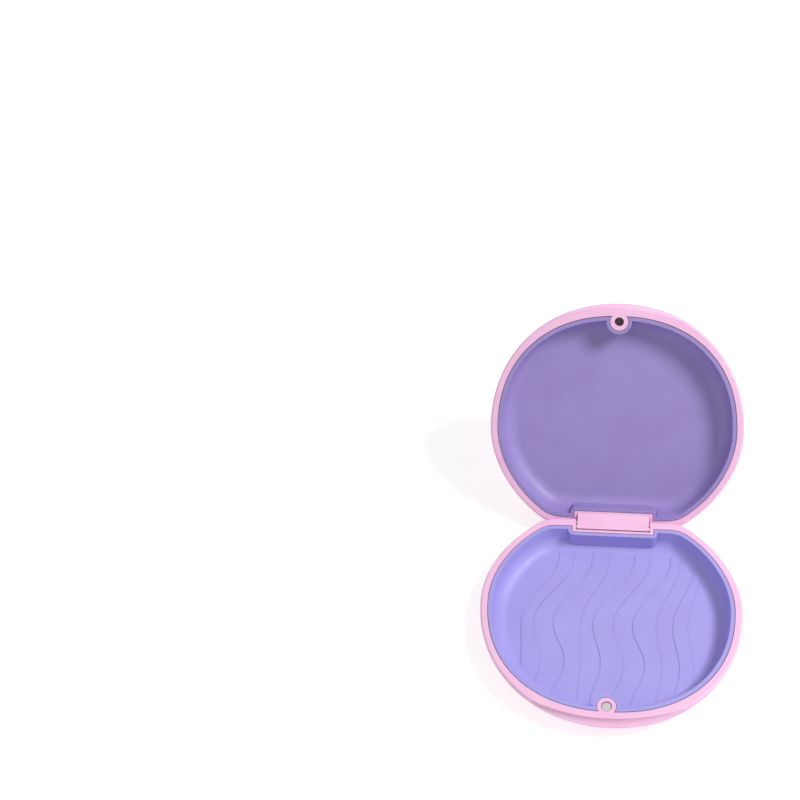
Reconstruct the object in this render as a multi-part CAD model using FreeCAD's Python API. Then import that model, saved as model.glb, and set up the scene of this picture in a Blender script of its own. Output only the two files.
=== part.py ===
import FreeCAD, Part
import math
import os

# Round clamshell case for orthodontic retainers, empty and open at its stop.
# Two shallow shells, each with a tray pressed into it, turn on one steel pin.
# Millimetres. +Z is up, the catch is toward -Y and the hinge toward +Y.
# The origin is on the flat face the case stands on, below the middle of the mouth.

Vec = FreeCAD.Vector

# Outline of the mouth, where the shell's rim meets the tray. It is a superellipse that
# is a little squarer in front than behind, cut off by a straight line at the hinge.
mouth_half_width = 43.0
mouth_front = 42.0
mouth_rear = 40.1
base_rear_line = 32.3
lid_rear_line = 33.1
front_power = 2.22
rear_power = 1.87
corner_softness = 0.7
foot_softness = 1.6
outline_points = 56

# Rim and outside of each shell. The outside is rounder in front than the mouth.
rim_width = 2.6
rim_rear_width = 3.2
body_front_extra = 1.9
body_front_power = 2.1
rim_edge_radius = 0.8
half_height = 10.4
belly_inset = 10.5
heel_inset = 1.6
heel_share = 0.3
belly_levels = 9

# Shell walls under the tray.
floor_thickness = 1.6
cavity_draft = 1.3
cavity_corner = 6.3

# Tray.
tray_gap = 0.22
tray_rim = 1.35
tray_floor = 1.0
tray_draft = 1.2
tray_corner = 5.2

# Hinge: the pin lies below the mouth plane, just in front of the rear edge of the rim.
open_angle = 130.0
pin_radius = 0.75
pin_inset = 0.9
pin_depth = 1.6
pin_running_gap = 0.05
barrel_radius = 1.45
barrel_length = 3.0
socket_depth = 1.6
pin_end_gap = 0.2
seam_gap = 0.1
tongue_half_width = 12.9
tongue_side_gap = 0.45
tongue_face = 1.5
tongue_reach = 3.7
tongue_tip_gap = 0.2
tongue_tip_gap_below = 0.3
tongue_back_length = 3.0
tongue_back_height = 0.9
tongue_shoulder = 2.5
tongue_root_height = 5.2
pocket_wall = 0.95
cheek_wall = 1.25
pocket_floor_wall = 1.4
lid_root_wall = 0.7
lid_cheek_wall = 1.3
tray_box_gap = 0.2
base_box_wall = 1.3
base_box_corner = 2.4
lid_box_wall = 1.1
lid_box_corner = 1.5

# Magnetic catch.
boss_from_mouth = 2.1
boss_radius = 3.2
collar_gap = 0.15
collar_wall = 1.2
base_magnet_radius = 1.7
base_magnet_height = 2.0
base_magnet_recess = 0.3
lid_magnet_radius = 1.5
lid_magnet_height = 2.0
lid_magnet_recess = 1.8
magnet_gap = 0.12
magnet_chamfer = 0.15

# Thumb scoop in the front edge of each rim, like the dent a round rope would leave.
scoop_half_length = 27.0
scoop_depth = 2.1
scoop_radius = 2.1
scoop_drop = 0.2

# Wave pattern on the floor of the base tray: raised bands between wavy edges. An edge
# turns at one place, sweeps to the right behind it and swings out and back before it.
wave_height = 0.18
wave_turn_y = -4.0
wave_rear_run = 27.0
wave_front_run = 32.0
wave_rear_end = 30.0
wave_knots = 11
# Left and right edge of each band: place at the turn, sweep behind it, swing before it.
wave_bands = [
    ((-31.0, 12.0, 0.8), (-26.8, 13.0, 3.2)),
    ((-19.8, 13.0, 4.8), (-10.4, 9.5, 0.6)),
    ((-5.8, 14.0, 3.2), (1.0, 12.6, 4.2)),
    ((8.0, 13.2, 4.6), (16.0, 8.4, 2.2)),
    ((22.0, 8.0, 2.4), (27.0, 5.0, 2.0)),
]

# Moulding marks: a small raised pad in the base tray and a dimple in the lid tray.
mark_y = -2.5
pad_length = 3.2
pad_width = 1.8
pad_height = 0.15
dimple_radius = 0.9
dimple_depth = 0.15

rim_z = half_height
lid_rim_z = rim_z + seam_gap
rear_edge = base_rear_line + rim_rear_width
pin_y = rear_edge - pin_inset
pin_z = rim_z - pin_depth
inner_depth = half_height - floor_thickness - tray_floor
outer_depth = inner_depth + tray_floor

# The tongue's face is level when the lid stands open, tongue_face above the pin's axis. With
# the lid closed it points this way from the axis, and starts at the lid's rim at face_start.
face_out_y = -math.sin(math.radians(open_angle))
face_out_z = math.cos(math.radians(open_angle))
face_start = (tongue_face - (pin_depth + seam_gap) * face_out_z) / face_out_y

pocket_half_width = tongue_half_width + tongue_side_gap
pocket_front = pin_y - tongue_reach - tongue_tip_gap
pocket_depth = pin_depth + tongue_reach + tongue_tip_gap_below
block_depth = pocket_depth + pocket_floor_wall
base_block_half_width = pocket_half_width + cheek_wall
base_block_front = pocket_front - pocket_wall
lid_block_half_width = tongue_half_width + lid_cheek_wall
lid_block_front = pin_y + face_start - lid_root_wall
boss_y = boss_from_mouth - mouth_front
collar_bore = boss_radius + collar_gap
collar_radius = collar_bore + collar_wall
# Cutters reach this far past the surface they start from, or right out of the case.
past = 1.0
far = 3.0 * mouth_half_width


def soft_min(a, b, softness):
    m = min(a, b)
    total = math.exp((m - a) / softness) + math.exp((m - b) / softness)
    return m - softness * math.log(total)


def outline(half_width, front, rear, line, power, softness, z):
    """Closed curve at height z: two half superellipses, cut off by a line at the hinge."""
    points = []
    for i in range(outline_points):
        t = 2.0 * math.pi * (i + 0.5) / outline_points - 0.5 * math.pi
        c = math.cos(t)
        s = math.sin(t)
        p = rear_power if s > 0 else power
        x = half_width * math.copysign(abs(c) ** (2.0 / p), c)
        y = (rear if s > 0 else front) * math.copysign(abs(s) ** (2.0 / p), s)
        points.append(Vec(x, soft_min(y, line, softness), z))
    curve = Part.BSplineCurve()
    curve.interpolate(Points=points, PeriodicFlag=True)
    return Part.Wire([curve.toShape()])


def mouth_outline(line, inset, softness, z):
    return outline(mouth_half_width - inset, mouth_front - inset, mouth_rear - inset, line - inset,
                   front_power, softness, z)


def slab(x0, x1, y0, y1, z0, z1):
    return Part.makeBox(x1 - x0, y1 - y0, z1 - z0, Vec(x0, y0, z0))


def post(radius, z0, z1):
    """Upright cylinder at the catch."""
    return Part.makeCylinder(radius, z1 - z0, Vec(0, boss_y, z0))


def rod_x(radius, x0, x1):
    """Cylinder along the hinge pin's axis."""
    return Part.makeCylinder(radius, x1 - x0, Vec(x0, pin_y, pin_z), Vec(1, 0, 0))


def edges_at(shape, z):
    found = []
    for edge in shape.Edges:
        box = edge.BoundBox
        if abs(box.ZMin - z) < 1e-3 and abs(box.ZMax - z) < 1e-3:
            found.append(edge)
    return found


def turned_over(shape):
    """The same form upside down, so that it closes on the base from above."""
    flipped = shape.mirror(Vec(0, 0, 0), Vec(0, 0, 1))
    flipped.translate(Vec(0, 0, rim_z + lid_rim_z))
    return flipped


def pebble():
    """Outside of a shell: upright at the rim, then an ellipse down to the flat face."""
    wires = []
    for i in range(belly_levels):
        angle = 0.5 * math.pi * i / (belly_levels - 1)
        drop = half_height * math.sin(angle)
        inset = belly_inset * (1.0 - math.cos(angle))
        heel = heel_inset * (1.0 - math.cos(angle))
        wires.append(outline(mouth_half_width + rim_width - inset,
                             mouth_front + rim_width + body_front_extra - inset,
                             mouth_rear + rim_width - heel_share * inset,
                             rear_edge - heel, body_front_power, corner_softness, rim_z - drop))
    body = Part.makeLoft(wires, True, False)
    return body.makeFillet(rim_edge_radius, edges_at(body, rim_z))


def bowl(line, mouth_inset, draft, depth, corner):
    """Drafted form with a rounded foot that opens at the rim."""
    lift = past * draft / depth
    wires = [mouth_outline(line, mouth_inset - lift, corner_softness, rim_z + past),
             mouth_outline(line, mouth_inset + draft, foot_softness, rim_z - depth)]
    body = Part.makeLoft(wires, True, True)
    return body.makeFillet(corner, edges_at(body, rim_z - depth))


def tray_box(half_width, front, corner):
    """Outside of the tray's wall round the hinge, with rounded front corners."""
    body = slab(-half_width, half_width, front, far, rim_z - outer_depth, rim_z + past)
    uprights = []
    for edge in body.Edges:
        box = edge.BoundBox
        if box.ZLength > outer_depth and abs(box.YMax - front) < 1e-6:
            uprights.append(edge)
    return body.makeFillet(corner, uprights)


def scoop():
    """Crescent cutter: a large ring whose tube crosses the front edge of the rim."""
    front_y = mouth_front + rim_width + body_front_extra
    side = scoop_half_length / (mouth_half_width + rim_width)
    end_y = front_y * (1.0 - side ** body_front_power) ** (1.0 / body_front_power)
    rise = front_y - scoop_depth - end_y
    inner = (scoop_half_length ** 2 + rise ** 2) / (2.0 * rise)
    centre = Vec(0, inner - front_y + scoop_depth, rim_z - scoop_drop)
    return Part.makeTorus(inner + scoop_radius, scoop_radius, centre, Vec(0, 0, 1))


def shell_form(line, block_half_width, block_front):
    """Shell with its cavity, catch boss, hinge block and thumb scoop."""
    cavity = bowl(line, 0.0, cavity_draft, half_height - floor_thickness, cavity_corner)
    block = slab(-block_half_width, block_half_width, block_front, far, rim_z - block_depth, rim_z)
    inside = cavity.cut([block, post(boss_radius, 0, half_height)])
    return pebble().cut([inside, scoop()])


def tray_hollow(line, block_half_width, block_front, wall, corner):
    """Inside of a tray, clear of the wall round the hinge and the collar at the catch."""
    inner = bowl(line, tray_gap + tray_rim, tray_draft, inner_depth, tray_corner)
    reach = tray_box_gap + wall
    box = tray_box(block_half_width + reach, block_front - reach, corner)
    return inner.cut([box, post(collar_radius, 0, far)])


def tray_form(line, block_half_width, block_front, hollow):
    """Tray round the given hollow, open for the hinge block and bored for the boss."""
    outer = bowl(line, tray_gap, tray_draft, outer_depth, tray_corner + tray_floor)
    above = slab(-far, far, -far, far, rim_z, far)
    reach = block_half_width + tray_box_gap
    behind = slab(-reach, reach, block_front - tray_box_gap, far, rim_z - block_depth - tray_box_gap, far)
    return outer.cut([above, hollow, behind, post(collar_bore, 0, far)])


def magnet_hole(radius, recess, height):
    return post(radius + magnet_gap, rim_z - recess - height, rim_z + past)


def make_base_shell():
    form = shell_form(base_rear_line, base_block_half_width, base_block_front)
    barrels = []
    for start in (-pocket_half_width - barrel_length, pocket_half_width):
        barrels.append(rod_x(barrel_radius, start, start + barrel_length))
    pocket = slab(-pocket_half_width, pocket_half_width, pocket_front, far,
                  rim_z - pocket_depth, rim_z + past)
    reach = pocket_half_width + socket_depth
    sockets = rod_x(pin_radius + pin_running_gap, -reach, reach)
    hole = magnet_hole(base_magnet_radius, base_magnet_recess, base_magnet_height)
    return form.fuse(barrels).cut([pocket, sockets, hole])


def tongue():
    """Tongue of the closed lid, from its root in the lid down into the base's pocket."""
    along = math.sqrt(tongue_reach ** 2 - tongue_face ** 2)
    start_z = pin_depth + seam_gap
    root_z = start_z + tongue_root_height
    root_lean = heel_inset * (1.0 - math.sqrt(1.0 - (tongue_root_height / half_height) ** 2))
    outline_yz = [
        (face_start, start_z),
        (tongue_face * face_out_y - along * face_out_z, tongue_face * face_out_z + along * face_out_y),
        (barrel_radius, -tongue_back_length),
        (barrel_radius, tongue_back_height),
        (pin_inset, tongue_shoulder),
        (pin_inset - root_lean, root_z),
        (face_start, root_z),
    ]
    corners = [Vec(-tongue_half_width, pin_y + y, pin_z + z) for y, z in outline_yz]
    side = Part.Face(Part.makePolygon(corners + corners[:1]))
    return side.extrude(Vec(2.0 * tongue_half_width, 0, 0))


def make_lid_shell_closed():
    form = shell_form(lid_rear_line, lid_block_half_width, lid_block_front)
    body = turned_over(form.cut(magnet_hole(lid_magnet_radius, lid_magnet_recess, lid_magnet_height)))
    root = slab(-tongue_half_width, tongue_half_width, pin_y + face_start, far,
                lid_rim_z - past, lid_rim_z + tongue_root_height)
    return body.cut(root).fuse(tongue()).cut(rod_x(pin_radius, -far, far))


def wave_x(edge, y):
    """Place of a band's edge at the given distance toward the hinge."""
    place, sweep, swing = edge
    if y > wave_turn_y:
        turn = min((y - wave_turn_y) / wave_rear_run, 1.0)
        return place + 0.5 * sweep * (1.0 - math.cos(math.pi * turn))
    turn = (wave_turn_y - y) / wave_front_run
    return place + 0.5 * swing * (1.0 - math.cos(2.0 * math.pi * turn))


def wave_edge(edge, z):
    """Smooth curve along one edge of a band, from the front of the tray to its back."""
    y0 = wave_turn_y - wave_front_run
    y1 = wave_rear_end
    points = []
    for i in range(wave_knots):
        y = y0 + (y1 - y0) * i / (wave_knots - 1)
        points.append(Vec(wave_x(edge, y), y, z))
    curve = Part.BSplineCurve()
    curve.interpolate(points)
    return curve


def wave_band(left, right, z0, z1):
    a = wave_edge(left, z0)
    b = wave_edge(right, z0)
    ends = [Part.makeLine(a.StartPoint, b.StartPoint), Part.makeLine(b.EndPoint, a.EndPoint)]
    wire = Part.Wire([ends[0], b.toShape(), ends[1], a.toShape()])
    return Part.Face(wire).extrude(Vec(0, 0, z1 - z0))


def make_base_liner():
    floor_z = rim_z - inner_depth
    low = floor_z - past
    raised = [wave_band(left, right, low, floor_z + wave_height) for left, right in wave_bands]
    raised.append(slab(-0.5 * pad_length, 0.5 * pad_length, mark_y - 0.5 * pad_width,
                       mark_y + 0.5 * pad_width, low, floor_z + pad_height))
    hollow = tray_hollow(base_rear_line, base_block_half_width, base_block_front,
                         base_box_wall, base_box_corner)
    return tray_form(base_rear_line, base_block_half_width, base_block_front, hollow.cut(raised))


def make_lid_liner_closed():
    hollow = tray_hollow(lid_rear_line, lid_block_half_width, lid_block_front,
                         lid_box_wall, lid_box_corner)
    form = tray_form(lid_rear_line, lid_block_half_width, lid_block_front, hollow)
    ball_radius = (dimple_radius ** 2 + dimple_depth ** 2) / (2.0 * dimple_depth)
    ball = Part.makeSphere(ball_radius, Vec(0, mark_y, rim_z - inner_depth - dimple_depth + ball_radius))
    return turned_over(form.cut(ball))


def magnet(radius, z0, z1):
    disc = post(radius, z0, z1)
    return disc.makeChamfer(magnet_chamfer, edges_at(disc, z0) + edges_at(disc, z1))


def opened(shape):
    turned = shape.copy()
    turned.rotate(Vec(0, pin_y, pin_z), Vec(1, 0, 0), -open_angle)
    return turned


pin_half = pocket_half_width + socket_depth - pin_end_gap
base_magnet_z = rim_z - base_magnet_recess
lid_magnet_z = lid_rim_z + lid_magnet_recess

parts = {
    "base_shell": make_base_shell(),
    "base_liner": make_base_liner(),
    "base_magnet": magnet(base_magnet_radius, base_magnet_z - base_magnet_height, base_magnet_z),
    "lid_shell": opened(make_lid_shell_closed()),
    "lid_liner": opened(make_lid_liner_closed()),
    "lid_magnet": opened(magnet(lid_magnet_radius, lid_magnet_z, lid_magnet_z + lid_magnet_height)),
    "hinge_pin": opened(rod_x(pin_radius, -pin_half, pin_half)),
}

os.makedirs("parts", exist_ok=True)
for name, shape in parts.items():
    shape.exportStep("parts/" + name + ".step")
    print(name, "solids", len(shape.Solids), "valid", shape.isValid(), "volume", round(shape.Volume, 1))
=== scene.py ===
# %% [markdown]
# # A retainer case in two colours of plastic
#
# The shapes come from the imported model: two pink shells, two lilac trays, a steel pin and a
# pair of magnets. Nothing more is modelled here, because the solids already have the full
# form. This lesson gives each of them a procedural material, then lights and frames the case
# as in the photograph.

import bpy
from mathutils import Matrix, Vector

MM = 0.001
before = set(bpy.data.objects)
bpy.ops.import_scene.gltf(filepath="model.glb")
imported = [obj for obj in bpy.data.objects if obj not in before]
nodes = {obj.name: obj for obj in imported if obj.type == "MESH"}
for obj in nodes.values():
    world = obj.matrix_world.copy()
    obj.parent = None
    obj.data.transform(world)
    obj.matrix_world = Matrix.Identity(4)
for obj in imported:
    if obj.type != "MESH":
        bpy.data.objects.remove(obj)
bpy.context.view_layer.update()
print("nodes:", ", ".join(sorted(nodes)))


# %% [markdown]
# ## Colours and nodes
#
# A colour picker shows sRGB, but a shader works in linear light, so every colour is written
# as sRGB hex and turned by one function. A material could be clicked together by hand. In
# code it reads as a list of nodes, each one added with its settings and its links.

# %% Colour and node helpers
def linear(hex_colour):
    """Linear RGBA of an sRGB hex colour."""
    channels = [int(hex_colour[i:i + 2], 16) / 255.0 for i in (1, 3, 5)]
    out = [c / 12.92 if c <= 0.04045 else ((c + 0.055) / 1.055) ** 2.4 for c in channels]
    return (*out, 1.0)


def wire(owner, node, links):
    """Feeds sockets of a node, each from a pair of another node and its output."""
    for socket, (source, output) in links.items():
        owner.node_tree.links.new(source.outputs[output], node.inputs[socket])


def add_node(owner, kind, settings, links):
    """New shader node. A setting goes to the socket of that name, or else to the property."""
    node = owner.node_tree.nodes.new(kind)
    for name, value in settings.items():
        if isinstance(name, int) or name in node.inputs:
            node.inputs[name].default_value = value
        else:
            setattr(node, name, value)
    wire(owner, node, links)
    return node


print("half of the sRGB range is", round(linear("#808080")[0], 3), "in linear light")


# %% [markdown]
# ## Patterns at their real size
#
# A noise texture takes its scale as features per metre, so a size in millimetres is turned
# over. It reads the object coordinates, which are the same metres for every piece. Most of a
# noise lies near the middle of its range, so the patterns below stretch that middle part.

# %% Pattern helpers
STRETCH = {"From Min": 0.3, "From Max": 0.7}


def per_metre(size_mm):
    """Texture scale whose features are about this many millimetres across."""
    return 1.0 / (size_mm * MM)


print("a 3 mm pattern has", round(per_metre(3.0)), "features per metre")


# %% [markdown]
# ## Moulded polypropylene
#
# Such cases are injection moulded, most often in polypropylene, from a mould with a fine
# spark-eroded texture. To the eye that is a satin surface: a broad soft highlight, a sheen
# that is a little uneven, and a slow drift in tone where the melt flowed. The plastic is
# waxy, so some light enters a thin wall and softens its shadows. The dimples of the texture
# are finer than a pixel, so they are drawn about a pixel apart, where they just break up the
# highlight.
#
# Creases, such as the feet of the raised waves and the seams, are painted a darker tone for
# the shade that falls in them. It could be painted by hand, but the ambient occlusion node finds
# them from the shape itself.

# %% Sizes and values of the plastic
PLASTIC_IOR = 1.49
GLOW_DEPTH_MM = 1.2
GLOW_REACH = (1.0, 0.7, 0.9)
FLOW_MM = 14.0
SHEEN_MM = 3.0
SHEEN_SPREAD = 0.05
GRAIN_MM = 0.28
GRAIN_DEPTH_MM = 0.012
GRAIN_STRENGTH = 0.25
# Reach, samples and range of the painted shade in the creases.
CREASE_SHADE_MM = 0.8
CREASE_SHADE_SAMPLES = 8
CREASE_SHADE_RANGE = {"From Min": 0.45, "From Max": 0.95}
print("the grain is", GRAIN_MM, "mm and the flow marks are", FLOW_MM, "mm across")


# %% [markdown]
# ## Colour of the plastic
#
# Each plastic has three tones: its own, the one that its flow marks drift to, and a painted
# shade for its creases. The shells are a cool baby pink. The base's tray is lilac. The lid's
# tray is the same lilac, painted darker and redder as painted shade, on top of the shade that
# its tilt to the light gives it.
#
# The Mix node's colour sockets are its inputs 6 and 7 and its output 2, because it has a set
# of sockets for each data type.

# %% Colour of the plastic
# The third tone of each is a painted shade for its creases.
PINK_TONES = ("#FECCEC", "#FBC4E8", "#CE90BA")
LILAC_TONES = ("#B0A8EC", "#ABA2E7", "#887CC9")
# The lid's tray: the lilac made darker and redder as painted shade.
SHADED_LILAC_TONES = ("#A292CE", "#9C8BC8", "#65549A")


def plastic_colour(material, place, tone, flow_tone, crease_shade_tone):
    """Nodes for the tone of the plastic, its drift and the painted shade of its creases. Returns
    the last one.
    """
    melt = add_node(material, "ShaderNodeTexNoise",
                    {"Scale": per_metre(FLOW_MM), "Detail": 2.0}, {"Vector": (place, "Object")})
    drift = add_node(material, "ShaderNodeMapRange", STRETCH, {"Value": (melt, 0)})
    clean = add_node(material, "ShaderNodeMix",
                     {"data_type": "RGBA", 6: linear(tone), 7: linear(flow_tone)},
                     {0: (drift, 0)})
    # Painted shade: the colour falls to the third tone in creases that the ambient occlusion
    # finds.
    crease_occlusion = add_node(material, "ShaderNodeAmbientOcclusion",
                       {"samples": CREASE_SHADE_SAMPLES, "Distance": CREASE_SHADE_MM * MM}, {})
    openness = add_node(material, "ShaderNodeMapRange", CREASE_SHADE_RANGE, {"Value": (crease_occlusion, "AO")})
    return add_node(material, "ShaderNodeMix", {"data_type": "RGBA", 6: linear(crease_shade_tone)},
                    {0: (openness, 0), 7: (clean, 2)})


print("the pink in linear light:", [round(value, 2) for value in linear(PINK_TONES[0])[:3]])


# %% [markdown]
# ## Shells of satin polypropylene
#
# The roughness drifts round its middle value in patches of a few millimetres, and the dimples
# are a bump, because they are far too shallow to be worth a mesh. Values that are the same
# all over the surface go on the shader's own sockets.

# %% Pink shells
def satin_polypropylene(name, tones, roughness, glow):
    """Moulded plastic of three tones: its own, that of its flow marks, and a painted shade for
    its creases.
    """
    material = bpy.data.materials.new(name)
    material.use_nodes = True
    shader = material.node_tree.nodes["Principled BSDF"]
    shader.inputs["IOR"].default_value = PLASTIC_IOR
    shader.inputs["Subsurface Weight"].default_value = glow
    shader.inputs["Subsurface Radius"].default_value = GLOW_REACH
    shader.inputs["Subsurface Scale"].default_value = GLOW_DEPTH_MM * MM

    place = add_node(material, "ShaderNodeTexCoord", {}, {})
    colour = plastic_colour(material, place, *tones)
    patches = add_node(material, "ShaderNodeTexNoise",
                       {"Scale": per_metre(SHEEN_MM), "Detail": 3.0},
                       {"Vector": (place, "Object")})
    sheen_range = {"To Min": roughness - SHEEN_SPREAD, "To Max": roughness + SHEEN_SPREAD}
    sheen = add_node(material, "ShaderNodeMapRange", {**STRETCH, **sheen_range},
                     {"Value": (patches, 0)})
    dimples = add_node(material, "ShaderNodeTexNoise",
                       {"Scale": per_metre(GRAIN_MM), "Detail": 2.0},
                       {"Vector": (place, "Object")})
    grain = add_node(material, "ShaderNodeBump",
                     {"Strength": GRAIN_STRENGTH, "Distance": GRAIN_DEPTH_MM * MM},
                     {"Height": (dimples, 0)})
    wire(material, shader,
         {"Base Color": (colour, 2), "Roughness": (sheen, 0), "Normal": (grain, 0)})
    return material


pink_shell = satin_polypropylene("pink_satin_polypropylene", PINK_TONES,
                                 roughness=0.42, glow=0.12)
print(pink_shell.name, "has", len(pink_shell.node_tree.nodes), "nodes")


# %% [markdown]
# ## Trays of the same plastic
#
# The trays come from the same kind of mould, so they take the same function. They are a
# little duller than the shells, and a little less light enters their darker plastic. The lid's
# tray takes a darker, redder copy of the lilac, which is painted shade.

# %% Lilac tray and its painted-shade copy for the lid
lilac_tray = satin_polypropylene("lilac_satin_polypropylene", LILAC_TONES,
                                 roughness=0.46, glow=0.10)
# The lid's tray is the lilac painted darker and redder, a painted shade.
shaded_lilac_tray = satin_polypropylene("shaded_lilac_satin_polypropylene", SHADED_LILAC_TONES,
                                 roughness=0.48, glow=0.10)
print("trays:", lilac_tray.name, shaded_lilac_tray.name)


# %% [markdown]
# ## Nickel plate of the magnets
#
# The catch's magnets are nickel plated, and clicking on each other has scuffed them, which
# gives a bright metal with an uneven, half-dull shine. The one in the lid sits deep in its
# hole, and its darker copy of the nickel is painted shade.

# %% Nickel magnets
SHINIER = 0.08
DULLER = 0.1
MARKS_TO_SCUFFS = 0.3
MARKS_DEPTH_MM = 0.01
MARKS_STRENGTH = 0.2


def scuffed_metal(name, tone, roughness, scuff_mm):
    """Bare or plated metal, with patches in its shine and finer marks in its surface."""
    material = bpy.data.materials.new(name)
    material.use_nodes = True
    shader = material.node_tree.nodes["Principled BSDF"]
    shader.inputs["Metallic"].default_value = 1.0
    shader.inputs["Base Color"].default_value = linear(tone)

    place = add_node(material, "ShaderNodeTexCoord", {}, {})
    patches = add_node(material, "ShaderNodeTexNoise",
                       {"Scale": per_metre(scuff_mm), "Detail": 4.0},
                       {"Vector": (place, "Object")})
    shine_range = {"To Min": roughness - SHINIER, "To Max": roughness + DULLER}
    shine = add_node(material, "ShaderNodeMapRange", {**STRETCH, **shine_range},
                     {"Value": (patches, 0)})
    marks = add_node(material, "ShaderNodeTexNoise",
                     {"Scale": per_metre(MARKS_TO_SCUFFS * scuff_mm), "Detail": 2.0},
                     {"Vector": (place, "Object")})
    relief = add_node(material, "ShaderNodeBump",
                      {"Strength": MARKS_STRENGTH, "Distance": MARKS_DEPTH_MM * MM},
                      {"Height": (marks, 0)})
    wire(material, shader, {"Roughness": (shine, 0), "Normal": (relief, 0)})
    return material


nickel = scuffed_metal("scuffed_nickel_plate", "#C9C4C6", roughness=0.34, scuff_mm=0.8)
# Painted shade: the lid's magnet is a dark grey copy of the nickel, for the shade of its deep
# hole.
shaded_nickel = scuffed_metal("shaded_nickel_plate", "#4E4649", roughness=0.5, scuff_mm=0.8)
print("magnets:", nickel.name, shaded_nickel.name)


# %% [markdown]
# ## Steel wire of the pin
#
# The pin is a length of drawn steel wire: a grey metal, smoother than the magnets, with finer
# marks. It differs from them only in tone, in shine and in the size of its marks, so it takes
# the same function.

# %% Steel pin
steel = scuffed_metal("drawn_steel_wire", "#A9ABAE", roughness=0.3, scuff_mm=0.5)
print("pin:", steel.name)


# %% [markdown]
# ## Dress the pieces
#
# Each piece of the model keeps its mesh. Only the material in its slots is changed, so the
# pieces stay exactly where the model has them.

# %% Assign the materials
finish_of = {
    "base_shell": pink_shell,
    "lid_shell": pink_shell,
    "base_liner": lilac_tray,
    # Painted shade: the lid's tray takes the darkened copy of the lilac.
    "lid_liner": shaded_lilac_tray,
    "base_magnet": nickel,
    # Painted shade: the lid's magnet takes the dark copy of the nickel.
    "lid_magnet": shaded_nickel,
    "hinge_pin": steel,
}
for name, material in finish_of.items():
    for slot in nodes[name].material_slots:
        slot.material = material
print("dressed", len(finish_of), "pieces of", len(nodes))


# %% [markdown]
# ## White paper that keeps a shadow
#
# The case stands on matt white paper that runs on to a white world. A stronger lamp could
# make them white, but it would wash out the pink. So rays from the camera, and those that a
# shiny or clear surface sends on, meet white, and all other rays meet the level that lights
# the case. The paper gains only a part of its white that way, and the rest is light that
# falls on it, so the shadow of the case stays on it.

# %% Matt paper
PAPER_OWN_WHITE = 0.58


def sees_background(owner):
    """Is 1 for rays of the camera, of reflections and through clear surfaces, else 0."""
    path = add_node(owner, "ShaderNodeLightPath", {}, {})
    direct = add_node(owner, "ShaderNodeMath", {"operation": "MAXIMUM"},
                      {0: (path, "Is Camera Ray"), 1: (path, "Is Glossy Ray")})
    return add_node(owner, "ShaderNodeMath", {"operation": "MAXIMUM"},
                    {0: (direct, 0), 1: (path, "Is Transmission Ray")})


paper = bpy.data.materials.new("white_matt_paper")
paper.use_nodes = True
paper_shader = paper.node_tree.nodes["Principled BSDF"]
paper_shader.inputs["Base Color"].default_value = linear("#EDEDED")
paper_shader.inputs["Roughness"].default_value = 0.9
paper_shader.inputs["Emission Color"].default_value = linear("#FFFFFF")
own_white = add_node(paper, "ShaderNodeMath", {"operation": "MULTIPLY", 1: PAPER_OWN_WHITE},
                     {0: (sees_background(paper), 0)})
wire(paper, paper_shader, {"Emission Strength": (own_white, 0)})
print(paper.name, "has", PAPER_OWN_WHITE, "of its white from itself")


# %% [markdown]
# ## Floor
#
# The floor is one flat square, large enough to lie under the case in every view, so that its
# far edge is nearly lost in the white.

# %% Floor
FLOOR_REACH_M = 3.0

floor_points = [(FLOOR_REACH_M * x, FLOOR_REACH_M * y, 0)
                for x, y in ((-1, -1), (1, -1), (1, 1), (-1, 1))]
floor_mesh = bpy.data.meshes.new("floor")
floor_mesh.from_pydata(floor_points, [], [(0, 1, 2, 3)])
floor = bpy.data.objects.new("floor", floor_mesh)
bpy.context.scene.collection.objects.link(floor)
floor.data.materials.append(paper)
print("floor reaches", FLOOR_REACH_M, "m each way")


# %% [markdown]
# ## Lights
#
# The photograph is lit from the upper right: the bosses of the catch throw soft shadows to
# the left, and the right walls of both trays are in shade. One soft disc of light does that,
# and a large weak one opens the shadows on the left.

# %% Lights
CASE_MIDDLE_MM = (0.0, 20.0, 20.0)


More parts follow.
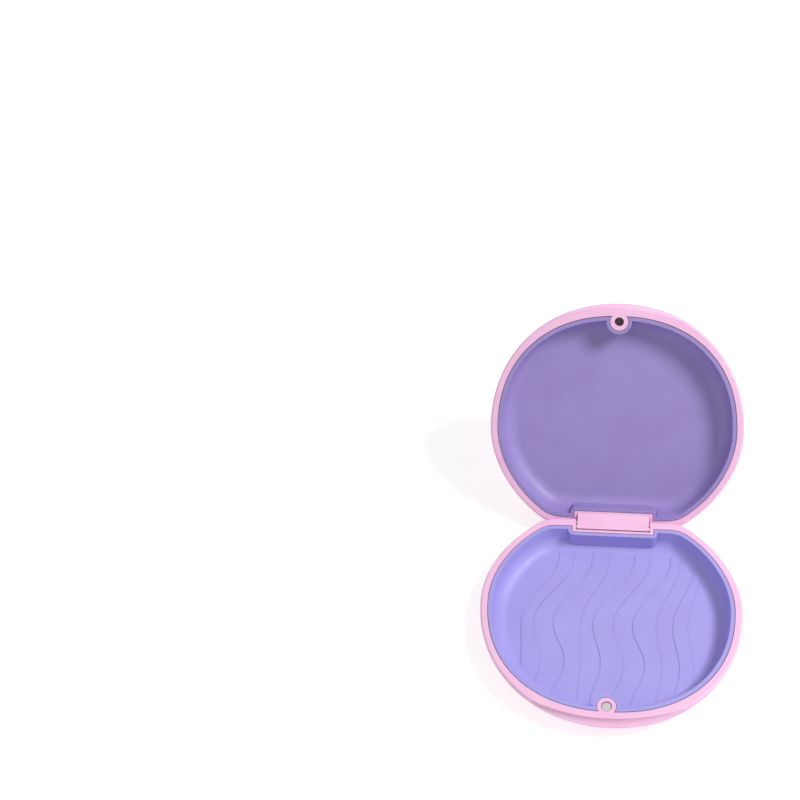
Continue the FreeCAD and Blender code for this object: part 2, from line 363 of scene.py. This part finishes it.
def soft_box(name, place_mm, size_mm, watts):
    """Disc of light that faces the middle of the case."""
    light = bpy.data.lights.new(name, "AREA")
    light.shape = "DISK"
    light.size = size_mm * MM
    light.energy = watts
    lamp = bpy.data.objects.new(name, light)
    place = Vector(place_mm) * MM
    facing = (Vector(CASE_MIDDLE_MM) * MM - place).to_track_quat("-Z", "Y")
    lamp.matrix_world = Matrix.Translation(place) @ facing.to_matrix().to_4x4()
    bpy.context.scene.collection.objects.link(lamp)


soft_box("key_from_upper_right", place_mm=(430.0, 30.0, 600.0), size_mm=220.0, watts=3.8)
soft_box("fill_from_left", place_mm=(-500.0, -350.0, 500.0), size_mm=600.0, watts=0.5)


# %% [markdown]
# ## World
#
# The world is the large white room round the case. It lights the case at a little over a
# third of white. With the lamps that adds up to a level at which a colour looks about as it
# is written.

# %% World
WORLD_LEVEL = 0.37

world = bpy.data.worlds.new("studio")
bpy.context.scene.world = world
world.use_nodes = True
sky = world.node_tree.nodes["Background"]
sky.inputs["Color"].default_value = linear("#FFFFFF")
level = add_node(world, "ShaderNodeMapRange", {"To Min": WORLD_LEVEL, "To Max": 1.0},
                 {"Value": (sees_background(world), 0)})
wire(world, sky, {"Strength": (level, 0)})
print("world lights the case at", WORLD_LEVEL)


# %% [markdown]
# ## Camera
#
# The camera stands in front of the case and looks down on it, turned so that the case leans
# and lies low on the right of the picture, as in the photograph. Its place, its directions
# and its lens were found by fitting the outlines of the two rims to the photographed ones.

# %% Camera
LENS_MM = 67.5
FILM_MM = 36.0
camera_place = Vector((2.7, -279.3, 467.6)) * MM
camera_right = Vector((0.9885, 0.1174, -0.0953))
camera_up = Vector((-0.0314, 0.7758, 0.6302))
camera_back = camera_right.cross(camera_up)

lens = bpy.data.cameras.new("camera")
lens.lens = LENS_MM
lens.sensor_width = FILM_MM
camera = bpy.data.objects.new("camera", lens)
turn = Matrix((camera_right, camera_up, camera_back)).transposed()
camera.matrix_world = Matrix.Translation(camera_place) @ turn.to_4x4()
bpy.context.scene.collection.objects.link(camera)
bpy.context.scene.camera = camera
print("camera is", round(camera_place.length, 3), "m from the origin")


# %% [markdown]
# ## Colour management
#
# The Standard view shows a colour as it is written. The default view is made for scenes with
# very bright lights, and would turn the pink dull.

# %% Colour management
bpy.context.scene.view_settings.view_transform = "Standard"
print("view transform:", bpy.context.scene.view_settings.view_transform)
